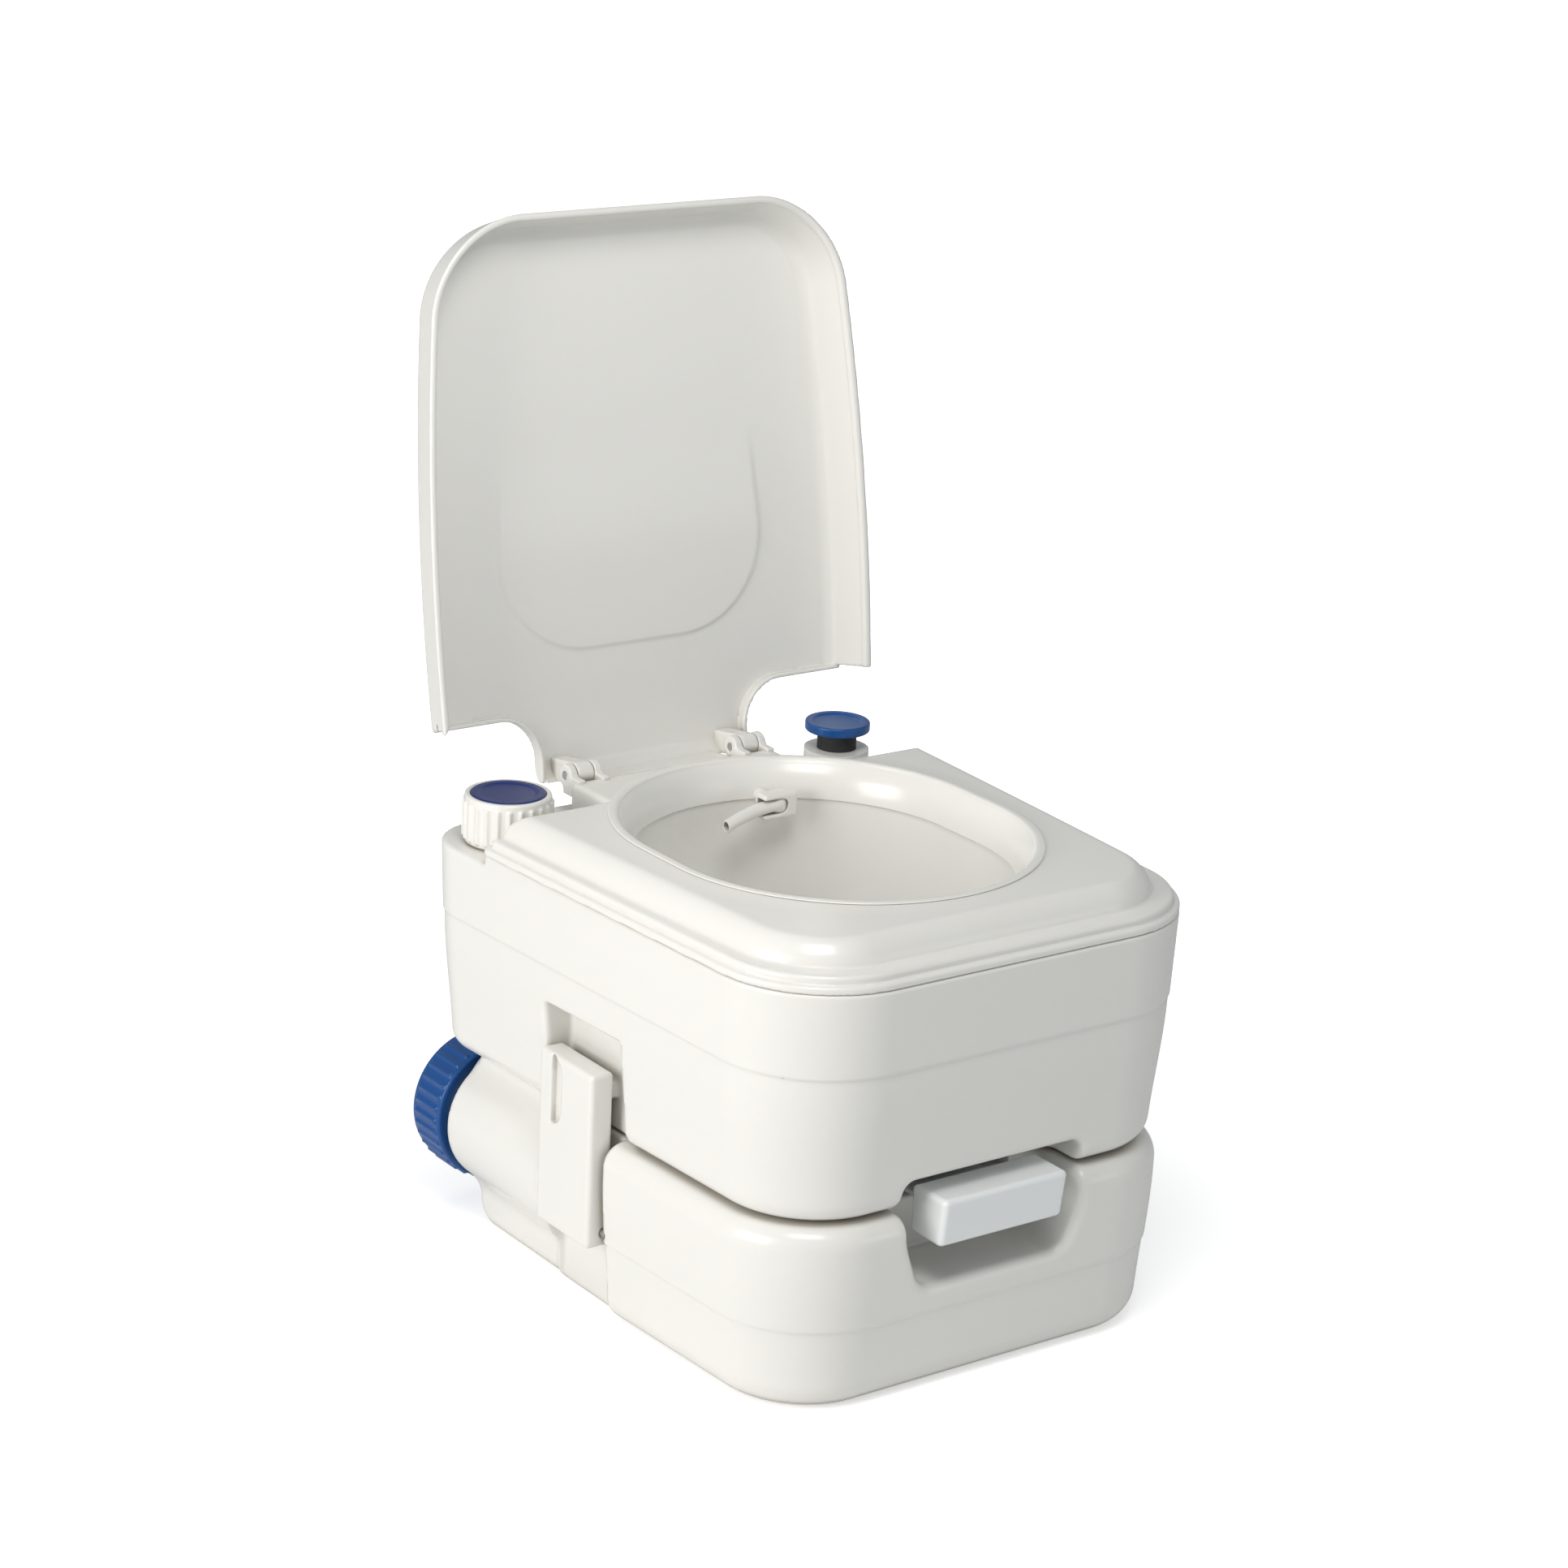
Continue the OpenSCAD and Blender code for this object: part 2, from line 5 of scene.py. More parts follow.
import bpy
import numpy as np
from mathutils import Matrix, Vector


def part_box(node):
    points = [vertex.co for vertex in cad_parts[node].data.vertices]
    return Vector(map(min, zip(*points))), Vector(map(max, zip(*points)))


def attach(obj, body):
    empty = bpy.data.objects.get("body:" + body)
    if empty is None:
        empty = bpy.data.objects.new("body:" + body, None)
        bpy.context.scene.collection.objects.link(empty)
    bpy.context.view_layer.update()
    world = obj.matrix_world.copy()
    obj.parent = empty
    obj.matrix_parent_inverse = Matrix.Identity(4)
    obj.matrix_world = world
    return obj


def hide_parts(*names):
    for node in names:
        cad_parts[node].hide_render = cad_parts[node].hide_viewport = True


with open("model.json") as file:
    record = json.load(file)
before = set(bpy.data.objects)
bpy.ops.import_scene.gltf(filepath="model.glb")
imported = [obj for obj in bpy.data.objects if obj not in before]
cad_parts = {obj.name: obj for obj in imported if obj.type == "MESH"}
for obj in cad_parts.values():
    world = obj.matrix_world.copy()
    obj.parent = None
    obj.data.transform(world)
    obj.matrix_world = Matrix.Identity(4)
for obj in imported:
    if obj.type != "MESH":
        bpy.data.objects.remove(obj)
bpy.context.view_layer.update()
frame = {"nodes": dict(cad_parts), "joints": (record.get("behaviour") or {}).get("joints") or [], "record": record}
MM = 0.001


def node_box(name):
    """Lowest and highest corner of a CAD node, in millimetres."""
    low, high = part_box(name)
    return np.array(low) / MM, np.array(high) / MM


# ---------------------------------------------------------------- distance fields, in millimetres
def rmax(a, b, r):
    """Intersection of two fields whose meeting edge is rounded with radius r."""
    u, v = a + r, b + r
    return np.hypot(np.maximum(u, 0), np.maximum(v, 0)) + np.minimum(np.maximum(u, v), 0) - r


def rmin(a, b, r):
    """Union of two fields with a fillet of radius r in the corner between them."""
    return -rmax(-a, -b, r)


def carve(body, tool, r):
    """Body without the tool, with the rim rounded by r."""
    return rmax(body, -tool, r)


def smooth(t):
    """Soft step from 0 to 1."""
    t = np.clip(t, 0, 1)
    return t * t * (3 - 2 * t)


def plan(x, y, half_rear, half_front, y_front, y_rear, r_front, r_rear, bow=0.0):
    """Tapered, rounded plan seen from above; bow lets the long sides swell."""
    t = (y - y_front) / (y_rear - y_front)
    half = half_front + (half_rear - half_front) * t + bow * 4 * np.clip(t * (1 - t), 0, 1)
    side = np.abs(x) - half
    return rmax(rmax(side, y_front - y, r_front), y - y_rear, r_rear)


def block(x, y, z, low, high, r):
    """Rounded box between two corners."""
    dx = np.abs(x - (low[0] + high[0]) / 2) - (high[0] - low[0]) / 2
    dy = np.abs(y - (low[1] + high[1]) / 2) - (high[1] - low[1]) / 2
    dz = np.abs(z - (low[2] + high[2]) / 2) - (high[2] - low[2]) / 2
    return rmax(rmax(dx, dy, r), dz, r)


def oval(x, y, shift):
    """Distance in plan to the middle line of an oval along Y."""
    return np.hypot(x, np.maximum(np.abs(y) - shift, 0))


def around(u, v, middle):
    """Distance to an axis through middle, at right angles to u and v."""
    return np.hypot(u - middle[0], v - middle[1])


# ---------------------------------------------------------------- field to mesh
CORNERS = [(i, j, k) for i in (0, 1) for j in (0, 1) for k in (0, 1)]
EDGES = [(a, b) for a in range(8) for b in range(a + 1, 8)
         if sum(abs(CORNERS[a][n] - CORNERS[b][n]) for n in range(3)) == 1]


def surface_of(field, low, high, step):
    """Quads on the zero surface of a field: one point per crossed cell, then settled onto the surface."""
    step = np.array(step, float)
    axes = [np.arange(low[n] - 2 * step[n], high[n] + 2.5 * step[n], step[n]) for n in range(3)]
    gx, gy, gz = axes[0][:, None, None], axes[1][None, :, None], axes[2][None, None, :]
    shape = tuple(len(a) for a in axes)
    values = np.broadcast_to(field(gx, gy, gz), shape).astype(np.float32)
    inside = values < 0
    count = np.zeros(tuple(n - 1 for n in shape), np.int8)
    for i, j, k in CORNERS:
        count += inside[i:shape[0] - 1 + i, j:shape[1] - 1 + j, k:shape[2] - 1 + k]
    cells = np.argwhere((count > 0) & (count < 8))
    corner = [values[cells[:, 0] + i, cells[:, 1] + j, cells[:, 2] + k] for i, j, k in CORNERS]
    total = np.zeros((len(cells), 3))
    hits = np.zeros(len(cells))
    for a, b in EDGES:
        crossed = (corner[a] < 0) != (corner[b] < 0)
        gap = np.where(crossed, corner[a] - corner[b], 1)
        t = (corner[a] / gap)[:, None]
        point = np.array(CORNERS[a]) + t * (np.array(CORNERS[b]) - np.array(CORNERS[a]))
        total += np.where(crossed[:, None], point, 0)
        hits += crossed
    points = np.array([a[0] for a in axes]) + (cells + total / hits[:, None]) * step
    index = np.full(count.shape, -1, np.int64)
    index[tuple(cells.T)] = np.arange(len(cells))
    quads = []
    for axis in range(3):
        other = [n for n in range(3) if n != axis]
        first = np.take(inside, range(shape[axis] - 1), axis)
        second = np.take(inside, range(1, shape[axis]), axis)
        edges = np.argwhere(first != second)
        keep = np.all([(edges[:, n] > 0) & (edges[:, n] < shape[n] - 1) for n in other], axis=0)
        edges = edges[keep]
        ring = []
        for du, dv in ((-1, -1), (0, -1), (0, 0), (-1, 0)):
            cell = edges.copy()
            cell[:, other[0]] += du
            cell[:, other[1]] += dv
            ring.append(index[tuple(cell.T)])
        ring = np.stack(ring, 1)
        flip = first[tuple(edges.T)] != (axis == 1)
        ring[~flip] = ring[~flip][:, ::-1]
        quads.append(ring)
    return settle(field, points, step), np.concatenate(quads)


def settle(field, points, step):
    """Moves points onto the zero surface along the field's slope."""
    h = 0.05
    for _ in range(2):
        x, y, z = points.T
        here = field(x, y, z)
        slope = np.stack([field(x + h, y, z) - field(x - h, y, z),
                          field(x, y + h, z) - field(x, y - h, z),
                          field(x, y, z + h) - field(x, y, z - h)], 1) / (2 * h)
        move = -here[:, None] * slope / np.maximum((slope ** 2).sum(1), 0.25)[:, None]
        length = np.linalg.norm(move, axis=1, keepdims=True)
        move *= np.minimum(1, 0.6 * step.min() / np.maximum(length, 1e-9))
        points = points + move
    return points


def moulding(name, field, low, high, step, body, slot, material, nodes, place=None):
    """A visible piece made from a distance field. It rides on a body and stands for CAD nodes."""
    points, quads = surface_of(field, low, high, step)
    if place is not None:
        points = place(points)
    return piece_from(name, points, quads, body, slot, material, nodes)


def piece_from(name, points, quads, body, slot, material, nodes):
    """A visible piece from its points in millimetres and its quads."""
    mesh = bpy.data.meshes.new(name)
    mesh.from_pydata((points * MM).tolist(), [], quads.tolist())
    mesh.polygons.foreach_set("use_smooth", [True] * len(mesh.polygons))
    mesh.materials.append(material)
    mesh.update()
    piece = bpy.data.objects.new(name, mesh)
    bpy.context.collection.objects.link(piece)
    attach(piece, body)
    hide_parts(*nodes)
    return piece


# ---------------------------------------------------------------- materials
class Nodes:
    """Small helper that adds and links shader nodes of one material."""

    def __init__(self, name):
        self.material = bpy.data.materials.new(name)
        self.material.use_nodes = True
        self.tree = self.material.node_tree
        self.shader = self.tree.nodes["Principled BSDF"]
        self.place = self.add("ShaderNodeTexCoord").outputs["Object"]

    def add(self, kind, **values):
        node = self.tree.nodes.new(kind)
        for key, value in values.items():
            setattr(node, key, value)
        return node

    def link(self, a, b):
        self.tree.links.new(a, b)

    def noise(self, scale, detail=3.0, rough=0.5):
        node = self.add("ShaderNodeTexNoise")
        node.inputs["Scale"].default_value = scale
        node.inputs["Detail"].default_value = detail
        node.inputs["Roughness"].default_value = rough
        self.link(self.place, node.inputs["Vector"])
        return node.outputs["Fac"]

    def ramp(self, value, low, high, at=(0.3, 0.7)):
        node = self.add("ShaderNodeValToRGB")
        for stop, position, color in zip(node.color_ramp.elements, at, (low, high)):
            stop.position = position
            stop.color = (*color, 1)
        self.link(value, node.inputs["Fac"])
        return node.outputs["Color"]

    def span(self, value, low, high):
        node = self.add("ShaderNodeMapRange")
        node.inputs["To Min"].default_value = low
        node.inputs["To Max"].default_value = high
        self.link(value, node.inputs["Value"])
        return node.outputs["Result"]

    def bump(self, height, distance, strength=1.0, below=None):
        node = self.add("ShaderNodeBump")
        node.inputs["Distance"].default_value = distance
        node.inputs["Strength"].default_value = strength
        self.link(height, node.inputs["Height"])
        if below is not None:
            self.link(below, node.inputs["Normal"])
        return node.outputs["Normal"]

    def mix(self, factor, a, b):
        node = self.add("ShaderNodeMix", data_type="RGBA")
        self.link(factor, node.inputs["Factor"])
        self.link(a, node.inputs["A"])
        self.link(b, node.inputs["B"])
        return node.outputs["Result"]

    def cavity(self, reach):
        """Mask for painted shade, from ambient occlusion: 0 on edges and open faces, 1 in tight corners."""
        node = self.add("ShaderNodeAmbientOcclusion", samples=8)
        node.inputs["Distance"].default_value = reach
        corner = self.add("ShaderNodeMapRange")
        for side, value in (("From Min", 0.25), ("From Max", 0.7), ("To Min", 1.0), ("To Max", 0.0)):
            corner.inputs[side].default_value = value
        self.link(node.outputs["AO"], corner.inputs["Value"])
        return corner.outputs["Result"]

    def value(self, name, value):
        self.shader.inputs[name].default_value = value


def moulded_plastic(name, light, dark, shade_color, rough=(0.20, 0.34), soft=0.12):
    """Satin moulded plastic: faint mottle, a slight wave, and painted shade that darkens tight corners toward
    shade_color.
    """
    n = Nodes(name)
    mottle = n.ramp(n.noise(5, 1), dark, light, (0.0, 1.0))
    shade_tint = n.add("ShaderNodeRGB")
    shade_tint.outputs[0].default_value = (*shade_color, 1)
    # Painted shade: ambient occlusion darkens the base colour in tight corners and gaps toward the shade colour.
    corner_shade = n.span(n.cavity(0.012), 0.0, 0.55)
    n.link(n.mix(corner_shade, mottle, shade_tint.outputs[0]), n.shader.inputs["Base Color"])
    n.link(n.span(n.noise(3, 0), *rough), n.shader.inputs["Roughness"])
    peel = n.bump(n.noise(160, 1), 0.00004, 0.1)
    wave = n.bump(n.noise(9, 1), 0.0004, 0.06, peel)
    n.link(wave, n.shader.inputs["Normal"])
    n.value("Subsurface Weight", soft)
    n.value("Subsurface Radius", (0.006, 0.005, 0.004))
    n.value("Coat Weight", 0.25 if soft > 0 else 0.08)
    n.value("Coat Roughness", 0.12)
    return n.material


def plain_rubber():
    """Matt black rubber with a fine grain."""
    n = Nodes("black_rubber")
    n.link(n.ramp(n.noise(60), (0.012, 0.012, 0.013), (0.03, 0.03, 0.032)), n.shader.inputs["Base Color"])
    n.link(n.span(n.noise(90), 0.55, 0.8), n.shader.inputs["Roughness"])
    n.link(n.bump(n.noise(700), 0.00008, 0.6), n.shader.inputs["Normal"])
    return n.material


def plain_steel():
    """Stainless steel with drawn streaks."""
    n = Nodes("steel")
    n.link(n.ramp(n.noise(120), (0.45, 0.46, 0.48), (0.62, 0.63, 0.65)), n.shader.inputs["Base Color"])
    n.link(n.span(n.noise(300), 0.22, 0.42), n.shader.inputs["Roughness"])
    n.value("Metallic", 1.0)
    n.link(n.bump(n.noise(900), 0.00003, 0.5), n.shader.inputs["Normal"])
    return n.material


def milky_hose():
    """Translucent white hose."""
    n = Nodes("milky_hose")
    n.link(n.ramp(n.noise(80), (0.62, 0.66, 0.68), (0.74, 0.77, 0.78)), n.shader.inputs["Base Color"])
    n.link(n.span(n.noise(60), 0.3, 0.5), n.shader.inputs["Roughness"])
    n.value("Transmission Weight", 0.25)
    return n.material


ivory = moulded_plastic("ivory_plastic", (0.835, 0.826, 0.792), (0.82, 0.81, 0.774), (0.42, 0.37, 0.29),
                        (0.22, 0.28))
cool = moulded_plastic("cool_plastic", (0.88, 0.905, 0.91), (0.865, 0.89, 0.895), (0.42, 0.42, 0.40),
                       (0.22, 0.28))
blue = moulded_plastic("blue_plastic", (0.002, 0.075, 0.29), (0.001, 0.06, 0.24), (0.004, 0.02, 0.07),
                       (0.22, 0.36), 0.0)
navy = moulded_plastic("navy_plastic", (0.005, 0.022, 0.17), (0.004, 0.018, 0.14), (0.004, 0.01, 0.04),
                       (0.25, 0.4), 0.0)
SLOTS = {"ivory_plastic": ivory, "cool_plastic": cool, "blue_plastic": blue, "black_rubber": plain_rubber(),
         "steel": plain_steel(), "hose_plastic": milky_hose()}
for part in frame["record"]["subparts"]:
    shown = frame["nodes"][part["node"]]
    shown.data.materials.clear()
    shown.data.materials.append(SLOTS[part["material_slot"]])

# ---------------------------------------------------------------- driving dimensions, from the frame
flush_low, flush_high = node_box("flush_tank")
waste_low, waste_high = node_box("waste_tank")
deck_low, deck_high = node_box("seat_deck")
bowl_low, bowl_high = node_box("bowl")
hinge = np.array(next(j["pos_m"] for j in frame["joints"] if j["name"] == "lid_hinge")) / MM
half_rear = flush_high[0]
half_front = half_rear - 19
front_y = flush_low[1]
rear_y = flush_high[1]
rim_z = deck_low[2] + 7.8
seam_high = flush_low[2]
seam_low = seam_high - 2
seat_z = bowl_high[2] - 2.05
WALL = 4.0
FAR = 50.0              # a distance beyond every small piece
SPOUT = (-132, 70)      # x and z of the pour-out spout's axis
FILLER = (-146, 160)    # x and y of the filler's axis
PUMP = (126, 158)       # x and y of the pump's axis
NOZZLE = (40, 290)      # x and z of the flush nozzle's stem
SHOULDER_Y = 126        # where the lower rear top of the flush tank starts
OVAL_SHIFT = 20         # half distance between the two round ends of the seat opening
OUTLET_Y = 20           # middle of the outlet under the bowl
TONGUE_HALF = 84        # half width of the rear tongues of deck and lid
HINGE_X = (-69, 69)     # middles of the two hinges
EAR_X = (-10, 10)       # ears beside a hinge middle
LUG_R = 8               # outer radius of ears and knuckles
BORE_R = 3.05           # bores for hinge and latch pins
POCKET_IN = 157         # inner side of the latch pockets
POCKET_REAR = 58
POCKET_TOP = 203
LATCH_Y = 24
LATCH_HALF = 31
LATCH_PIN = (170, 62)   # x and z of the latch pins


# ---------------------------------------------------------------- flush tank
def latch_pocket(x, y, z, top, low=-50.0):
    """Hollow in the tank sides that each latch lies in."""
    return block(np.abs(x), y, z, (POCKET_IN, -25, low), (240, POCKET_REAR, top), 3)


def flush_outer(x, y, z):
    """Outside of the flush tank: tapered plan, drafted sides with a crease, handle hollow."""
    crease = rim_z - 56
    draft = 2.0 * np.clip((rim_z - z) / 56, 0, 1) + 7.5 * smooth((crease - z) / 110)
    line = 1.1 * smooth((crease - z) / 1.6)
    d = plan(x, y, half_rear, half_front, front_y, rear_y, 74, 44) + draft + line
    d = rmax(d, z - rim_z, 2.5)
    d = rmax(d, seam_high - z, 13)
    shoulder = rmax(SHOULDER_Y - y, (rim_z - 8) - z, 3)
    d = carve(d, shoulder, 2.5)
    handle_room = block(x, y, z, (-72, front_y - 60, 90), (72, -160, seam_high + 19), 9)
    return carve(d, handle_room, 5)


def flush_tank(x, y, z):
    """Flush tank shell with filler neck, openings for bowl, outlet and pump, and the latch catches."""
    outside = flush_outer(x, y, z)
    pocket = latch_pocket(x, y, z, POCKET_TOP)
    d = carve(outside, pocket, 2.5)
    neck = rmax(around(x, y, FILLER) - 24, np.maximum(z - rim_z - 16, 240 - z), 1.5)
    d = rmin(d, neck, 1)
    hollow = np.maximum(outside, -pocket) + WALL
    inside_plan = plan(x, y, half_rear, half_front, front_y, rear_y, 74, 44) + 9
    open_top = np.maximum(np.maximum(y - 118, (rim_z - 10) - z), inside_plan)
    d = np.maximum(d, -hollow)
    d = np.maximum(d, -open_top)
    d = np.maximum(d, -np.maximum(oval(x, y, OVAL_SHIFT) - 126, 200 - z))
    d = np.maximum(d, -np.maximum(np.hypot(x, y - OUTLET_Y) - 48, z - 160))
    d = np.maximum(d, -np.maximum(around(x, y, FILLER) - 20, 240 - z))
    d = np.maximum(d, -np.maximum(around(x, y, PUMP) - 18.2, 240 - z))
    catch = block(np.abs(x), y, z, (154, 0, 152), (165, 48, 164), 1.2)
    return np.minimum(d, catch)


# ---------------------------------------------------------------- waste tank
def waste_outer(x, y, z):
    """Outside of the waste tank with the spout barrel at the rear left and the hand hollow in front."""
    draft = 6.0 * smooth((105 - z) / 105) + 3.0
    line = 1.0 * smooth((58 - z) / 1.6)
    d = plan(x, y, half_rear - 2, half_front - 1, front_y + 1, 178, 72, 34) + draft + line
    d = rmax(d, z - seam_low, 15)
    d = rmax(d, -z, 18)
    side_cut = block(x, y, z, (-260, POCKET_REAR, -40), (-158, 260, 240), 8)
    d = carve(d, side_cut, 8)
    barrel = rmax(around(x, z, SPOUT) - 47, np.maximum(56 - y, y - 178), 4)
    d = rmin(d, barrel, 9)
    half = 60 + 10 * smooth((z - 74) / 40)
    hollow = rmax(np.abs(x) - half, np.maximum(74 - z, y + 145), 12)
    return carve(d, hollow, 7)


def waste_tank(x, y, z):
    """Waste tank shell with spout neck, latch pockets, valve room and outlet hole."""
    pocket = block(np.abs(x), y, z, (POCKET_IN, -11, -40), (240, POCKET_REAR, 260), 3)
    outer = carve(waste_outer(x, y, z), pocket, 3)
    neck = rmax(around(x, z, SPOUT) - 38, np.maximum(150 - y, y - 206), 1)
    d = rmin(outer, neck, 2)
    valve_room = block(x, y, z, (-66.4, -62.4, seam_low - 20), (66.4, 92.4, 240), 0.5)
    trough = block(x, y, z, (-55, -160, seam_low - 16), (55, -55, 240), 1)
    shell = np.maximum(outer, np.maximum(-valve_room, -trough)) + WALL
    d = np.maximum(d, -shell)
    d = np.maximum(np.maximum(d, -valve_room), -trough)
    d = np.maximum(d, -np.maximum(np.hypot(x, y - OUTLET_Y) - 42, 90 - z))
    d = np.maximum(d, -np.maximum(around(x, z, SPOUT) - 34, 162 - y))
    pin_hole = np.maximum(around(np.abs(x), z, LATCH_PIN) - BORE_R, np.abs(y - LATCH_Y) - 37)
    return np.maximum(d, -pin_hole)


# ---------------------------------------------------------------- seat deck and bowl
LEDGE_Z = seat_z - 24     # dark ledge under the rolled rim


def seat_deck(x, y, z):
    """Deck: two rolled ledges, the raised seat, the hinge tongue behind it and the oval opening."""
    ledge = plan(x, y, half_rear - 1.5, half_front - 0.5, front_y + 0.6, SHOULDER_Y, 73, 7)
    lower = rmax(ledge, z - (rim_z + 5), 2.0)
    upper = rmax(ledge + 4.5, z - (rim_z + 10.5), 2.5)
    seat = plan(x, y, 175, half_front - 17, front_y + 19, 124, 58, 6, 1)
    roll = 6.0 * smooth((z - rim_z - 9) / 16)
    crown = seat_z + 1.2 * smooth((oval(x, y, OVAL_SHIFT) - 150) / -30)
    seat = rmax(seat + roll, z - crown, 10)
    d = rmin(np.minimum(lower, upper), seat, 1.2)
    tongue = block(x, y, z, (-TONGUE_HALF, 90, rim_z - 7.6), (TONGUE_HALF, 180, rim_z + 17.5), 4)
    tongue = np.maximum(tongue, np.minimum(rim_z + 0.1 - z, SHOULDER_Y + 0.4 - y))
    d = rmin(np.maximum(d, rim_z + 0.1 - z), tongue, 3)
    d = np.maximum(d, -(d + WALL - 0.2))
    under = np.maximum(rmax(ledge + 8, z - (rim_z + 6), 2), rim_z - 9 - z)
    d = np.maximum(d, -np.maximum(under, y - 118))
    inner_tongue = block(x, y, z, (-80, 80, rim_z - 30), (80, 176, rim_z + 13.5), 1)
    d = np.maximum(d, -inner_tongue)
    opening = np.maximum(122.6, rim_radius(z) + 4.1)
    return rmax(d, -(oval(x, y, OVAL_SHIFT) - opening), 0.8)


def hinge_ears(x, y, z):
    """The two pairs of ears on the deck that hold the lid's pins."""
    eye = np.hypot(y - hinge[1], z - hinge[2])
    d = FAR
    for middle in HINGE_X:
        for ear in EAR_X:
            at = middle + ear
            arm = block(x, y, z, (at - 3, 172, rim_z + 6), (at + 3, hinge[1] + 2, hinge[2] + 1), 1.0)
            d = np.minimum(d, rmin(rmax(np.abs(x - at) - 3, eye - LUG_R, 1), arm, 2))
    return np.maximum(d, -(eye - BORE_R))


def rim_radius(z):
    """Inner radius of the rolled flushing rim above its ledge."""
    u = np.clip((z - LEDGE_Z) / (bowl_high[2] - LEDGE_Z), 0, 1)
    return 115.2 + 4.5 * u + 7.8 * u ** 3


def bowl_radius(z):
    """Inner radius of the bowl at a height: funnel, dark undercut, rolled rim."""
    depth = np.clip((LEDGE_Z - 1 - z) / 135, 0, 1)
    funnel = 42 + 75 * np.power(np.clip(1 - depth ** 2.3, 0, 1), 0.62)
    return funnel + (rim_radius(z) - funnel) * smooth((z - LEDGE_Z + 1.4) / 1.6)


def bowl_profile():
    """Closed section of the bowl wall as radius and height: up inside, over the lip, down outside."""
    top = bowl_high[2]
    low_part = np.arange(bowl_low[2], LEDGE_Z - 3, 3.0)
    ledge_part = np.arange(LEDGE_Z - 3, LEDGE_Z + 1.5, 0.25)
    rim_part = np.arange(LEDGE_Z + 2, top - 1.6, 1.5)
    heights = np.concatenate([low_part, ledge_part, rim_part])
    inside = [(bowl_radius(z), z) for z in heights]
    lip = []
    start = rim_radius(top - 1.6)
    for angle in np.linspace(0, math.pi / 2, 9):
        lip.append((start + 3.2 * (1 - math.cos(angle)), top - 1.6 + 1.6 * math.sin(angle)))
    for angle in np.linspace(0, math.pi / 2, 7):
        lip.append((start + 5.6 + 1.2 * math.sin(angle), top - 0.1 - 0.9 * (1 - math.cos(angle))))
    lip.append((start + 3.6, top - 1.05))
    outside = [(max(rim_radius(z), bowl_radius(z)) + 3.2, z) for z in heights[::-1]]
    return np.array(inside + lip + outside)


def swept_bowl():
    """The bowl section carried round an oval that turns into a circle further down."""
    profile = bowl_profile()
    turn = np.linspace(0, math.pi, 97)
    t = smooth((profile[:, 1] - 150) / 110)
    shift, middle = OVAL_SHIFT * t, OUTLET_Y * (1 - t)
    loops = []
    for half in (1, -1):
        around = turn if half == 1 else turn + math.pi
        x = profile[:, :1] * np.cos(around)
        y = profile[:, :1] * np.sin(around) + (middle + half * shift)[:, None]
        z = np.broadcast_to(profile[:, 1:], x.shape)
        loops.append(np.stack([x, y, z], 2))
    grid = np.concatenate(loops, 1)
    rows, columns = grid.shape[:2]
    i = np.arange(rows)[:, None]
    j = np.arange(columns)[None, :]
    up, along = (i + 1) % rows, (j + 1) % columns
    quads = np.stack([i * columns + j, up * columns + j, up * columns + along, i * columns + along], 2)
    return grid.reshape(-1, 3), quads.reshape(-1, 4)


def bracket(x, y, z):
    """Block under the rim that holds the nozzle's stem."""
    d = block(x, y, z, (25, 102, 281), (53, 115, 299), 2.5)
    slot = block(x, y, z, (10, 96, 284.5), (40.5, 112.2, 295.5), 2)
    d = carve(d, slot, 1)
    return np.maximum(d, -(around(x, z, NOZZLE) - 5.1))


def nozzle(x, y, z):
    """Stem through the bowl wall and a curved tube with an open tip."""
    stem = rmax(around(x, z, NOZZLE) - 5, np.maximum(104 - y, y - 141.8), 1)
    reach = NOZZLE[0] - x
    tube_y = 107 - 0.0014 * reach ** 2
    tube_z = NOZZLE[1] - 0.004 * np.maximum(reach, 0) ** 2
    tube = np.hypot(y - tube_y, z - tube_z) - 4.6
    tube = rmax(tube, np.maximum(x - 42, -6 - x), 0.8)
    d = rmin(stem, tube, 3)
    bore = np.hypot(y - tube_y, z - tube_z) - 3.2
    return np.maximum(d, -np.maximum(bore, x - 32))


# ---------------------------------------------------------------- lid, in its closed place
SKIRT_Z = rim_z + 12.5
LID_DEPTH = 38
LID_OPEN = 98.5           # degrees from closed to the rest pose
LID_TOP = SKIRT_Z + LID_DEPTH
LID_FRONT = hinge[1] - 383
LID_REAR = 148


def lid_plan(x, y):
    """Plan of the lid, with sides that swell a little."""
    return plan(x, y, 175, half_front - 10, LID_FRONT, LID_REAR + 60, 66, 12, 11)


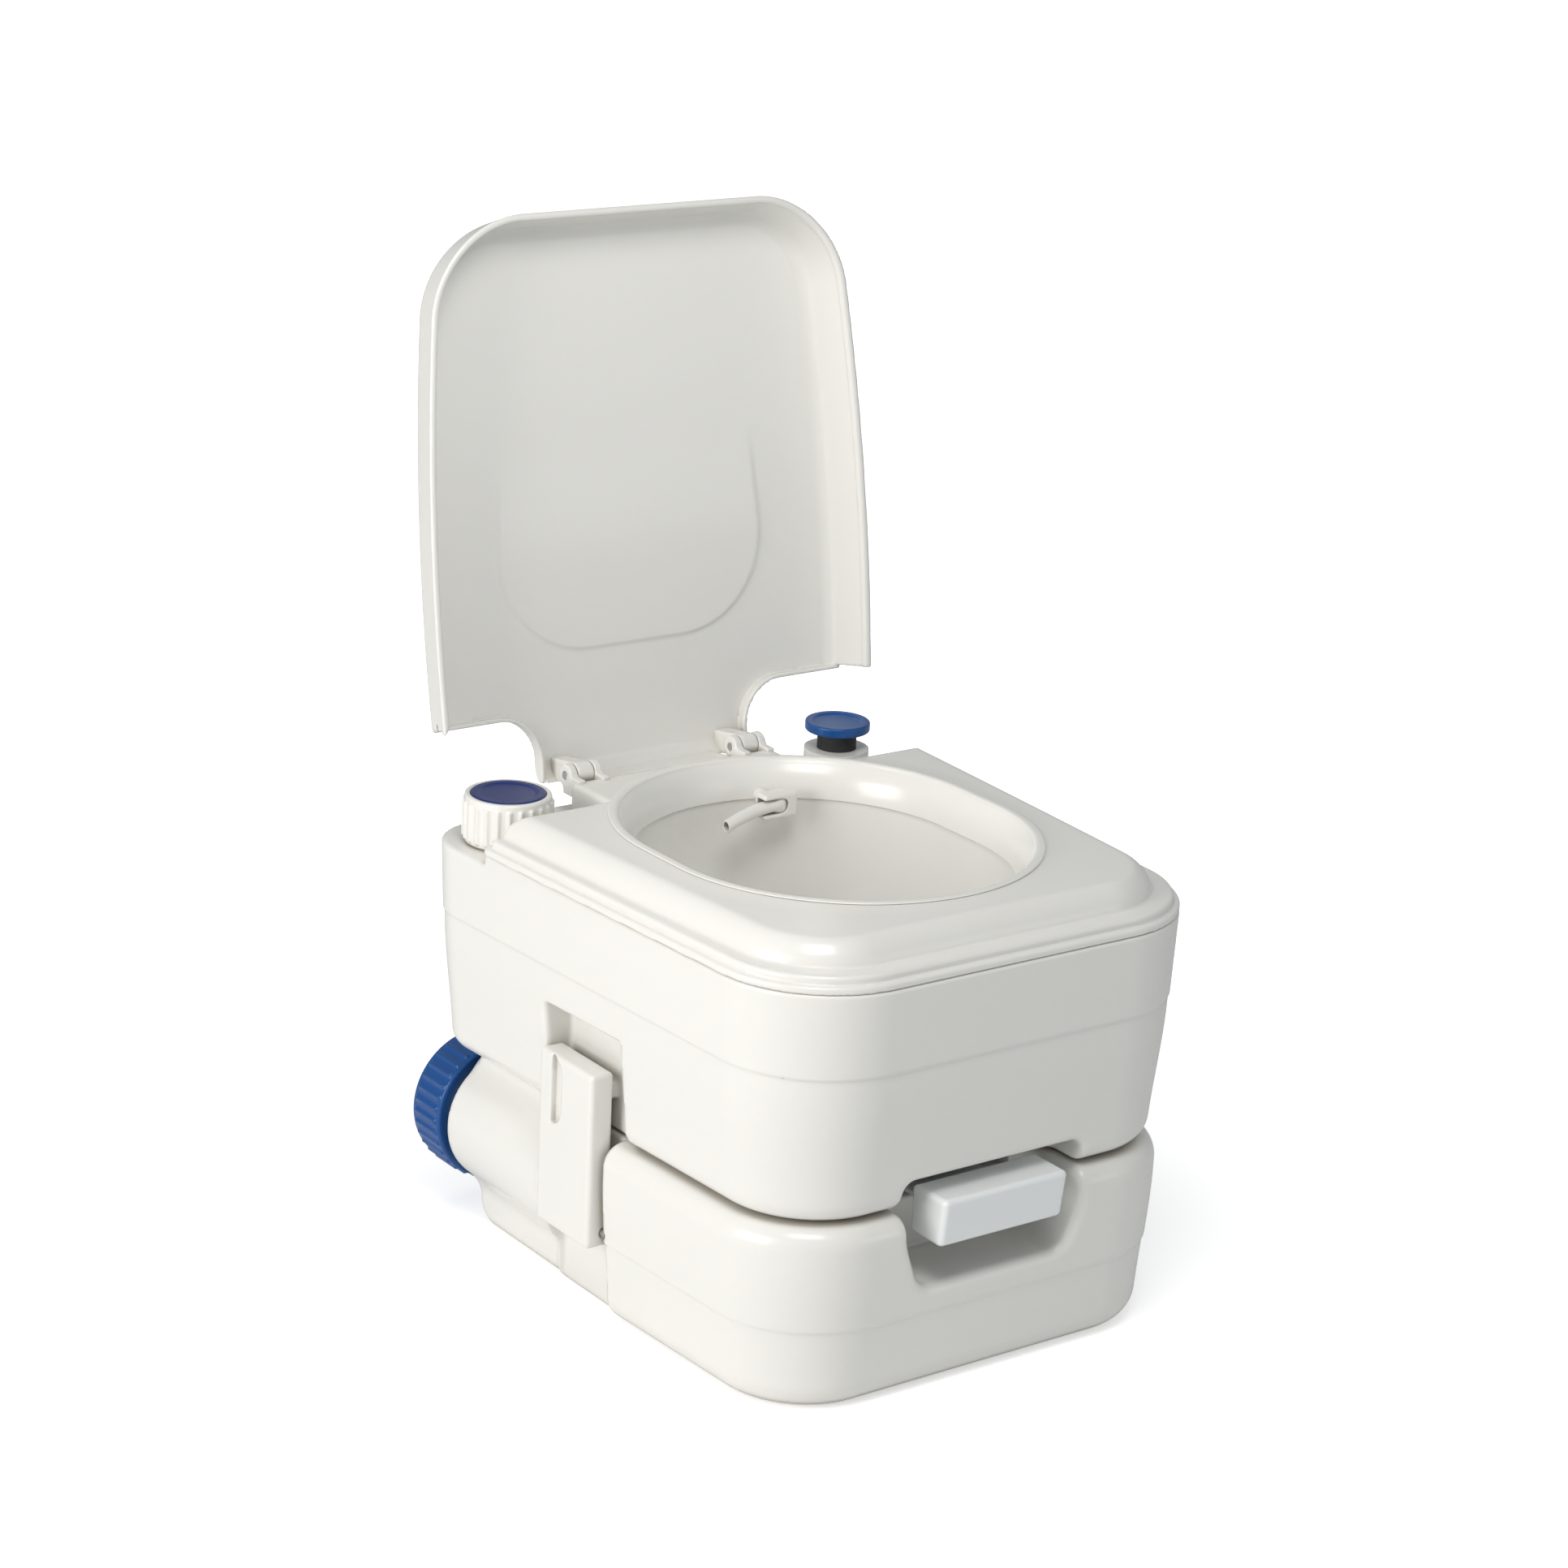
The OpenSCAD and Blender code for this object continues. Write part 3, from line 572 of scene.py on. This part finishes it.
def lid_closed(x, y, z):
    """Lid shell as it lies when closed: drafted skirt, pressed panel, tongue with cut-outs, apron."""
    d = lid_plan(x, y)
    rise = (z - SKIRT_Z) / LID_DEPTH
    crown = LID_TOP - 1.6 * np.clip((x / 184) ** 2, 0, 1)
    outer = rmax(d + 8.0 * rise, z - crown, 13)
    lip = 1.4 * smooth((SKIRT_Z + 6 - z) / 3)
    press = plan(x, y, 118, 100, LID_FRONT + 60, LID_REAR - 34, 70, 80)
    fade = smooth((y + 40) / 90)
    thick = 3.0 + 1.8 * smooth((press + 2) / -4) * fade
    inner = rmax(d + 11.5 * rise + 3.2 + lip, z - crown + thick, 8)
    d = np.maximum(outer, -inner)
    d = rmax(d, SKIRT_Z - z, 1.0)
    cut = rmax(TONGUE_HALF - np.abs(x), LID_REAR - y, 34)
    d = rmax(d, -cut, 1.0)
    rim = np.maximum(np.maximum(cut, -cut - 2.8), np.maximum(outer, LID_TOP - 10 - z))
    d = np.minimum(d, rmax(rim, outer, 1.0))
    d = rmax(d, y - (hinge[1] + LUG_R), 1.2)
    collar_room = np.maximum(around(x, y, FILLER) - 32.8, z - 316)
    d = np.maximum(d, -collar_room)
    apron = block(x, y, z, (-54, hinge[1] + 5, hinge[2] - 4), (54, hinge[1] + LUG_R, LID_TOP - 1), 1.0)
    return rmin(d, apron, 2)


def lid_lugs(x, y, z):
    """The two knuckles of the lid, as they lie when it is closed."""
    eye = np.hypot(y - hinge[1], z - hinge[2])
    d = FAR
    for middle in HINGE_X:
        low = (middle - 6.5, hinge[1] - LUG_R, hinge[2])
        arm = block(x, y, z, low, (middle + 6.5, hinge[1] + LUG_R, LID_TOP - 1.5), 1.5)
        d = np.minimum(d, np.minimum(rmax(np.abs(x - middle) - 6.5, eye - LUG_R, 1), arm))
    return np.maximum(d, -(eye - BORE_R))


def open_lid(points):
    """Turns the closed lid about its hinge to the rest pose."""
    angle = math.radians(-LID_OPEN)
    y, z = points[:, 1] - hinge[1], points[:, 2] - hinge[2]
    turned = points.copy()
    turned[:, 1] = hinge[1] + y * math.cos(angle) - z * math.sin(angle)
    turned[:, 2] = hinge[2] + y * math.sin(angle) + z * math.cos(angle)
    return turned


# ---------------------------------------------------------------- latches, handle, caps
def latch(side):
    """Field of one latch; side is -1 for the left one."""
    low, high = node_box("right_latch")

    def field(x, y, z):
        u = side * x
        inner = low[0] + 1.5 * smooth((z - 72) / 30)
        d = rmax(rmax(u - high[0], inner - u, 2.0), np.abs(y - LATCH_Y) - LATCH_HALF, 3)
        d = rmax(d, np.maximum(low[2] - z, z - high[2]), 3)
        scoop = np.hypot(np.maximum(np.abs(z - 149) - 12, 0), y - 41) - 12
        scoop = rmax(scoop, y - 41, 1)
        d = carve(d, np.maximum(scoop, high[0] - 5 - u), 1.2)
        return np.maximum(d, -(around(u, z, LATCH_PIN) - BORE_R))
    return field


def valve_handle(x, y, z):
    """Front pull of the slide valve, with a finger hollow underneath."""
    low, high = node_box("valve_handle")
    lean = 4 * (1 - (z - low[2]) / (high[2] - low[2]))
    d = rmax(rmax(np.abs(x) - high[0] + 0.08 * lean, low[1] + lean - y, 4), y - high[1], 2)
    d = rmax(d, np.maximum(low[2] - z, z - high[2]), 3.5)
    finger = block(x, y, z, (low[0] + 5, low[1] + 9, low[2] - 30),
                   (high[0] - 5, high[1] - 4, high[2] - 7), 3)
    return carve(d, finger, 1.5)


def ribbed_cap(middle, axis, radius, low, high, ribs, depth, hole, floor, recess=0.0, recess_r=0.0):
    """Screw cap with gripping ribs; axis 2 stands upright, axis 1 faces the rear."""
    def field(x, y, z):
        u = x - middle[0]
        v, w = (y - middle[1], z) if axis == 2 else (z - middle[1], y)
        r = np.hypot(u, v)
        wave = 0.5 + 0.5 * np.cos(ribs * np.arctan2(v, u))
        grip = depth * np.power(wave, 2.0) * smooth((w - low - 2) / 1.5) * smooth((high - 3.5 - w) / 1.5)
        d = rmax(r - (radius - depth) - grip, np.maximum(low - w, w - high), 1.6)
        d = np.maximum(d, -np.maximum(r - hole, w - floor))
        if recess > 0:
            d = rmax(d, -np.maximum(r - recess_r, high - recess - w), 0.6)
        return d
    return field


def disc(middle, radius, low, high, dish):
    """Pressed disc with a rounded edge and a shallow dish."""
    def field(x, y, z):
        r = around(x, y, middle)
        top = high - dish * smooth((radius * 0.82 - r) / 3)
        return rmax(r - radius, np.maximum(low - z, z - top), 1.4)
    return field


def pad(box, extra=1.0):
    """Corners of a box, moved out a little."""
    return box[0] - extra, box[1] + extra


def ivory_piece(name, field, box, step, body, node, place=None):
    """A moulding in the ivory plastic that stands for one node."""
    moulding(name, field, *box, step, body, "ivory_plastic", ivory, [node], place)


def build_tanks():
    tank_step = (2.5, 2.5, 1.25)
    flush_top = np.array([half_rear + 4, rear_y, rim_z + 17])
    ivory_piece("flush_tank_shell", flush_tank, pad((flush_low, flush_top)), tank_step,
                "flush_unit", "flush_tank")
    ivory_piece("waste_tank_shell", waste_tank, pad((waste_low, waste_high)), tank_step,
                "waste_unit", "waste_tank")
    ivory_piece("seat_deck_shell", seat_deck, pad((deck_low, deck_high)), (2.0, 2.0, 0.8),
                "flush_unit", "seat_deck")
    piece_from("bowl_shell", *swept_bowl(), "flush_unit", "ivory_plastic", ivory, ["bowl"])


def build_lid_and_hinges():
    fine = (0.8, 0.8, 0.8)
    ears_box = (np.array([-84, 170, 288]), np.array([84, 200, 316]))
    ivory_piece("seat_deck_ears", hinge_ears, ears_box, fine, "flush_unit", "seat_deck")
    lid_box = (np.array([-184, LID_FRONT - 2, 294]), np.array([184, 200, LID_TOP + 2]))
    ivory_piece("lid_shell", lid_closed, lid_box, (1.6, 1.6, 0.9), "lid_body", "lid", open_lid)
    knuckle_box = (np.array([-78, 180, 295]), np.array([78, 200, LID_TOP]))
    ivory_piece("lid_knuckles", lid_lugs, knuckle_box, fine, "lid_body", "lid", open_lid)


def build_small_pieces():
    for side, name in ((-1, "left_latch"), (1, "right_latch")):
        ivory_piece(name + "_moulding", latch(side), pad(node_box(name)), (0.9, 0.9, 1.2),
                    name + "_body", name)
    moulding("valve_handle_grip", valve_handle, *pad(node_box("valve_handle")), (1, 1, 1),
             "valve_slider", "cool_plastic", cool, ["valve_handle"])
    small = (0.6, 0.6, 0.6)
    ivory_piece("nozzle_holder", bracket, pad(node_box("nozzle_bracket")), small,
                "flush_unit", "nozzle_bracket")
    nozzle_space = (np.array([-9, 96, 278]), np.array([48, 144, 298]))
    ivory_piece("nozzle_tube", nozzle, nozzle_space, small, "flush_unit", "flush_nozzle")


def build_caps():
    low, high = node_box("filler_cap")
    collar = ribbed_cap(FILLER, 2, 31, low[2], high[2], 24, 1.6, 24.1, low[2] + 25.2, 4, 25.7)
    ivory_piece("filler_cap_collar", collar, pad((low, high)), (0.7, 0.7, 0.7),
                "filler_cap_body", "filler_cap")
    disc_step = (0.6, 0.6, 0.4)
    low, high = node_box("filler_cap_insert")
    moulding("filler_cap_disc", disc(FILLER, 25.5, low[2], high[2], 1.2), *pad((low, high)), disc_step,
             "filler_cap_body", "blue_plastic", navy, ["filler_cap_insert"])
    low, high = node_box("pump_knob")
    moulding("pump_knob_disc", disc(PUMP, 23, low[2], high[2], 1.6), *pad((low, high)), disc_step,
             "pump_plunger", "blue_plastic", blue, ["pump_knob"])
    low, high = node_box("spout_cap")
    spout_cap = ribbed_cap(SPOUT, 1, 51, low[1], high[1], 36, 1.6, 38.1, low[1] + 25.2)
    moulding("spout_cap_moulding", spout_cap, *pad((low, high)), (0.8, 0.8, 0.8),
             "spout_cap_body", "blue_plastic", blue, ["spout_cap"])


# ---------------------------------------------------------------- stage, light and camera
def frame_axes(right, up, back, place):
    """Matrix of a lamp or camera from its axes and its place."""
    return Matrix([[right[i], up[i], back[i], place[i]] for i in range(3)] + [[0, 0, 0, 1]])


def area_light(name, place, aim, size, power, color=(1, 1, 1)):
    """Rectangular lamp at a place, turned to its aim."""
    data = bpy.data.lights.new(name, "AREA")
    data.shape = "RECTANGLE"
    data.size, data.size_y = size
    data.energy = power
    data.color = color
    lamp = bpy.data.objects.new(name, data)
    bpy.context.collection.objects.link(lamp)
    back = np.array(place, float) - np.array(aim, float)
    back /= np.linalg.norm(back)
    right = np.cross((0, 0, 1), back)
    right /= np.linalg.norm(right)
    up = np.cross(back, right)
    lamp.matrix_world = frame_axes(right, up, back, place)


def build_floor():
    """White paper whose glow, seen only by the camera, grows with the distance from the part."""
    mesh = bpy.data.meshes.new("floor")
    reach = 12.0
    mesh.from_pydata([(-reach, -reach, 0), (reach, -reach, 0), (reach, reach, 0), (-reach, reach, 0)], [],
                     [(0, 1, 2, 3)])
    floor = bpy.data.objects.new("floor", mesh)
    n = Nodes("floor_paper")
    n.link(n.ramp(n.noise(2), (0.90, 0.90, 0.90), (0.93, 0.93, 0.93)), n.shader.inputs["Base Color"])
    n.value("Roughness", 0.9)
    away = n.add("ShaderNodeVectorMath", operation="LENGTH")
    n.link(n.place, away.inputs[0])
    glow = n.add("ShaderNodeMapRange")
    for name, value in (("From Min", 0.25), ("From Max", 1.1), ("To Min", 0.5), ("To Max", 1.0)):
        glow.inputs[name].default_value = value
    n.link(away.outputs["Value"], glow.inputs["Value"])
    seen = n.add("ShaderNodeMath", operation="MULTIPLY")
    n.link(n.add("ShaderNodeLightPath").outputs["Is Camera Ray"], seen.inputs[0])
    n.link(glow.outputs["Result"], seen.inputs[1])
    n.link(seen.outputs[0], n.shader.inputs["Emission Strength"])
    n.value("Emission Color", (1, 1, 1, 1))
    mesh.materials.append(n.material)
    bpy.context.collection.objects.link(floor)


def build_lights():
    """Pale surroundings, a warm key from the left and three weaker lamps."""
    world = bpy.data.worlds.new("studio")
    bpy.context.scene.world = world
    world.use_nodes = True
    tree = world.node_tree
    sky = tree.nodes["Background"]
    sky.inputs["Color"].default_value = (0.95, 0.98, 1.0, 1)
    path = tree.nodes.new("ShaderNodeLightPath")
    strength = tree.nodes.new("ShaderNodeMapRange")
    strength.inputs["To Min"].default_value = 0.365
    strength.inputs["To Max"].default_value = 1.05
    tree.links.new(path.outputs["Is Camera Ray"], strength.inputs["Value"])
    tree.links.new(strength.outputs["Result"], sky.inputs["Strength"])
    area_light("key", (-2.15, -0.15, 0.9), (0, 0, 0.25), (1.1, 1.1), 27, (1.0, 0.98, 0.95))
    area_light("fill", (1.2, -2.1, 0.9), (0, 0, 0.25), (1.0, 0.8), 3, (0.92, 0.97, 1.0))
    area_light("lid_light", (-0.4, -0.55, 1.35), (0, 0.2, 0.5), (0.5, 0.5), 5.6, (1.0, 0.98, 0.95))
    area_light("top", (0.3, 1.0, 2.1), (0, 0, 0.3), (0.9, 0.7), 1.0)
    bpy.context.scene.view_settings.view_transform = "Standard"


def build_camera():
    """Camera in front and to the left, a little above, rolled slightly."""
    azimuth, elevation, roll = math.radians(-36.55), math.radians(18.21), math.radians(2.77)
    distance, aim = 2.579, np.array([-0.0090, 0.0360, 0.3331])
    back = np.array([math.sin(azimuth) * math.cos(elevation), -math.cos(azimuth) * math.cos(elevation),
                     math.sin(elevation)])
    right = np.array([math.cos(azimuth), math.sin(azimuth), 0.0])
    up = np.cross(back, right)
    right, up = (math.cos(roll) * right + math.sin(roll) * up, math.cos(roll) * up - math.sin(roll) * right)
    place = aim + back * distance
    data = bpy.data.cameras.new("camera")
    data.sensor_width = 36
    data.lens = 89.3
    camera = bpy.data.objects.new("camera", data)
    camera.matrix_world = frame_axes(right, up, back, place)
    bpy.context.collection.objects.link(camera)
    bpy.context.scene.camera = camera


build_tanks()
build_lid_and_hinges()
build_small_pieces()
build_caps()
build_floor()
build_lights()
build_camera()
